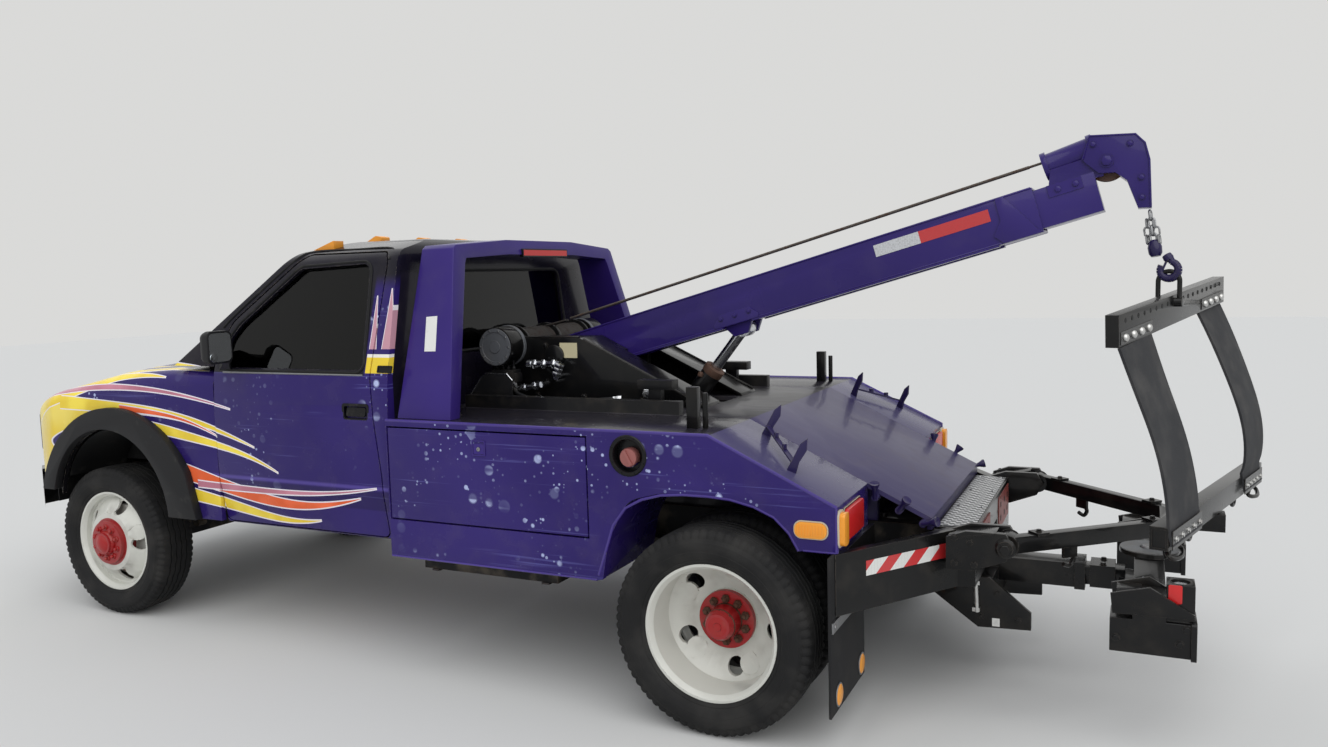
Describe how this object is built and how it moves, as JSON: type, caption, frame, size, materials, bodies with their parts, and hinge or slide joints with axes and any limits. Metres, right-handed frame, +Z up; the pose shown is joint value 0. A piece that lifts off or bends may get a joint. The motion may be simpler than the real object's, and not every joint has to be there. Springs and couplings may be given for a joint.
{
  "type": "tow truck",
  "caption": "Light tow truck with a raised telescopic boom, hanging belt sling and a swivelling wheel lift, doors, hood and tool lockers that open.",
  "frame": {"origin": "on the ground, at the middle of the truck's length and width", "axes": "+X forward, +Y to the driver's left, +Z up"},
  "size_m": [6.2058, 2.3, 2.2018],
  "materials": {
    "frame_black": "satin chassis black",
    "cast_iron": "raw casting, oily",
    "wheel_white": "white enamel with chips, red hubs",
    "tyre": "worn black rubber",
    "purple_paint": "deep violet gloss with painted scallops",
    "glass": "dark tinted glass",
    "black_plastic": "grained black moulding",
    "seat_cloth": "grey cloth",
    "amber_lens": "amber lenses in a dark housing",
    "red_lens": "red, amber and clear lenses",
    "rubber": "matt black rubber",
    "black_gloss": "gloss black enamel, chipped at the edges",
    "chrome": "bright plated steel",
    "bare_steel": "stranded wire rope"
  },
  "bodies": {
    "chassis": {"chassis_frame": "frame_black", "engine_block": "cast_iron", "driveline": "cast_iron", "front_axle": "frame_black", "rear_axle": "frame_black", "leaf_springs": "frame_black", "fuel_tank": "frame_black", "cab_shell": "purple_paint", "cab_glass": "glass", "bench_seat": "seat_cloth", "dashboard": "black_plastic", "steering_wheel": "black_plastic", "cab_marker_lamps": "amber_lens", "lever_posts": "black_gloss", "fender_left": "purple_paint", "fender_right": "purple_paint", "wheel_flares": "black_plastic", "grille": "black_plastic", "lamps": "red_lens", "front_bumper": "frame_black", "body_side_left": "purple_paint", "body_side_right": "purple_paint", "deck": "purple_paint", "cab_guard": "purple_paint", "rear_frame": "black_gloss", "mud_flaps": "rubber", "mast_frame": "black_gloss", "winch": "black_gloss"},
    "knuckle_left": {"knuckle_left": "frame_black"},
    "knuckle_right": {"knuckle_right": "frame_black"},
    "front_wheel_left": {"front_wheel_left": "wheel_white", "front_tyre_left": "tyre"},
    "front_wheel_right": {"front_wheel_right": "wheel_white", "front_tyre_right": "tyre"},
    "rear_wheels_left": {"rear_wheels_left": "wheel_white", "rear_tyres_left": "tyre"},
    "rear_wheels_right": {"rear_wheels_right": "wheel_white", "rear_tyres_right": "tyre"},
    "door_left": {"door_left": "purple_paint", "door_glass_left": "glass", "mirror_left": "black_plastic"},
    "door_right": {"door_right": "purple_paint", "door_glass_right": "glass", "mirror_right": "black_plastic"},
    "hood": {"hood": "purple_paint"},
    "tool_door_left": {"tool_door_left": "purple_paint"},
    "tool_door_right": {"tool_door_right": "purple_paint"},
    "boom": {"boom_outer": "purple_paint", "winch_cable": "bare_steel"},
    "boom_tip": {"boom_inner": "purple_paint"},
    "boom_cylinder": {"boom_cylinder": "black_gloss"},
    "boom_rod": {"boom_rod": "chrome"},
    "sling_frame": {"sling_arms": "black_gloss"},
    "sling_pivot": {"sling_pivot": "black_gloss"},
    "sling": {"sling_bars": "black_gloss", "sling_belts": "rubber", "hook_block": "chrome"},
    "lift_arm": {"lift_arm": "black_gloss"},
    "lift_slide": {"lift_slide": "black_gloss"},
    "lift_crossbar": {"lift_crossbar": "black_gloss"}
  },
  "joints": [
    {"name": "steer_left", "type": "hinge", "parent": "chassis", "child": "knuckle_left", "pos_m": [2.225, 0.72, 0.39], "axis": [0, 0, 1], "range_deg": [-30, 30]},
    {"name": "steer_right", "type": "hinge", "parent": "chassis", "child": "knuckle_right", "pos_m": [2.225, -0.72, 0.39], "axis": [0, 0, 1], "range_deg": [-30, 30]},
    {"name": "front_wheel_left_spin", "type": "hinge", "parent": "knuckle_left", "child": "front_wheel_left", "pos_m": [2.225, 0.837, 0.39], "axis": [0, 1, 0], "continuous": true},
    {"name": "front_wheel_right_spin", "type": "hinge", "parent": "knuckle_right", "child": "front_wheel_right", "pos_m": [2.225, -0.837, 0.39], "axis": [0, 1, 0], "continuous": true},
    {"name": "rear_wheels_left_spin", "type": "hinge", "parent": "chassis", "child": "rear_wheels_left", "pos_m": [-1.217, 0.845, 0.39], "axis": [0, 1, 0], "continuous": true},
    {"name": "rear_wheels_right_spin", "type": "hinge", "parent": "chassis", "child": "rear_wheels_right", "pos_m": [-1.217, -0.845, 0.39], "axis": [0, 1, 0], "continuous": true},
    {"name": "door_left_hinge", "type": "hinge", "parent": "chassis", "child": "door_left", "pos_m": [1.362, 0.968, 0.9], "axis": [0, 0, -1], "range_deg": [0, 65]},
    {"name": "door_right_hinge", "type": "hinge", "parent": "chassis", "child": "door_right", "pos_m": [1.362, -0.968, 0.9], "axis": [0, 0, 1], "range_deg": [0, 65]},
    {"name": "hood_hinge", "type": "hinge", "parent": "chassis", "child": "hood", "pos_m": [1.73, 0, 1.3], "axis": [0, -1, 0], "range_deg": [0, 50]},
    {"name": "tool_door_left_hinge", "type": "hinge", "parent": "chassis", "child": "tool_door_left", "pos_m": [-0.21, 1.014, 0.693], "axis": [-1, 0, 0], "range_deg": [0, 90]},
    {"name": "tool_door_right_hinge", "type": "hinge", "parent": "chassis", "child": "tool_door_right", "pos_m": [-0.21, -1.014, 0.693], "axis": [1, 0, 0], "range_deg": [0, 90]},
    {"name": "boom_lift", "type": "hinge", "parent": "chassis", "child": "boom", "pos_m": [-0.15, 0, 1.338], "axis": [0, 1, 0], "range_deg": [0, 22]},
    {"name": "boom_extend", "type": "slide", "parent": "boom", "child": "boom_tip", "axis": [-0.9641, 0, 0.2656], "range_m": [0, 0.9]},
    {"name": "boom_cylinder_turn", "type": "hinge", "parent": "chassis", "child": "boom_cylinder", "pos_m": [-0.56, 0, 0.93], "axis": [0, 1, 0], "range_deg": [0, 18.5]},
    {"name": "boom_rod_slide", "type": "slide", "parent": "boom_cylinder", "child": "boom_rod", "axis": [-0.6238, 0, 0.7816], "range_m": [0, 0.23]},
    {"name": "sling_lower", "type": "hinge", "parent": "chassis", "child": "sling_frame", "pos_m": [-2.198, 0, 0.695], "axis": [0, 1, 0], "range_deg": [-8, 0]},
    {"name": "sling_level", "type": "hinge", "parent": "sling_frame", "child": "sling_pivot", "pos_m": [-2.785, 0, 0.69], "axis": [0, 1, 0], "range_deg": [-1, 9]},
    {"name": "sling_swivel", "type": "hinge", "parent": "sling_pivot", "child": "sling", "pos_m": [-2.881, 0, 0.75], "axis": [0, 0, 1], "range_deg": [-20, 30]},
    {"name": "wheel_lift_tilt", "type": "hinge", "parent": "chassis", "child": "lift_arm", "pos_m": [-1.96, 0, 0.58], "axis": [0, 1, 0], "range_deg": [-18, 0]},
    {"name": "wheel_lift_extend", "type": "slide", "parent": "lift_arm", "child": "lift_slide", "axis": [-1, 0, 0], "range_m": [0, 0.35]},
    {"name": "wheel_lift_swivel", "type": "hinge", "parent": "lift_slide", "child": "lift_crossbar", "pos_m": [-2.665, 0, 0.5], "axis": [0, 0, 1], "range_deg": [-25, 25]}
  ],
  "couplings": [
    {"joint": "steer_right", "follows": "steer_left", "ratio": 1},
    {"joint": "boom_cylinder_turn", "follows": "boom_lift", "ratio": 0.8056},
    {"joint": "boom_rod_slide", "follows": "boom_lift", "m_per_rad": 0.5553},
    {"joint": "sling_level", "follows": "sling_lower", "ratio": -1}
  ]
}
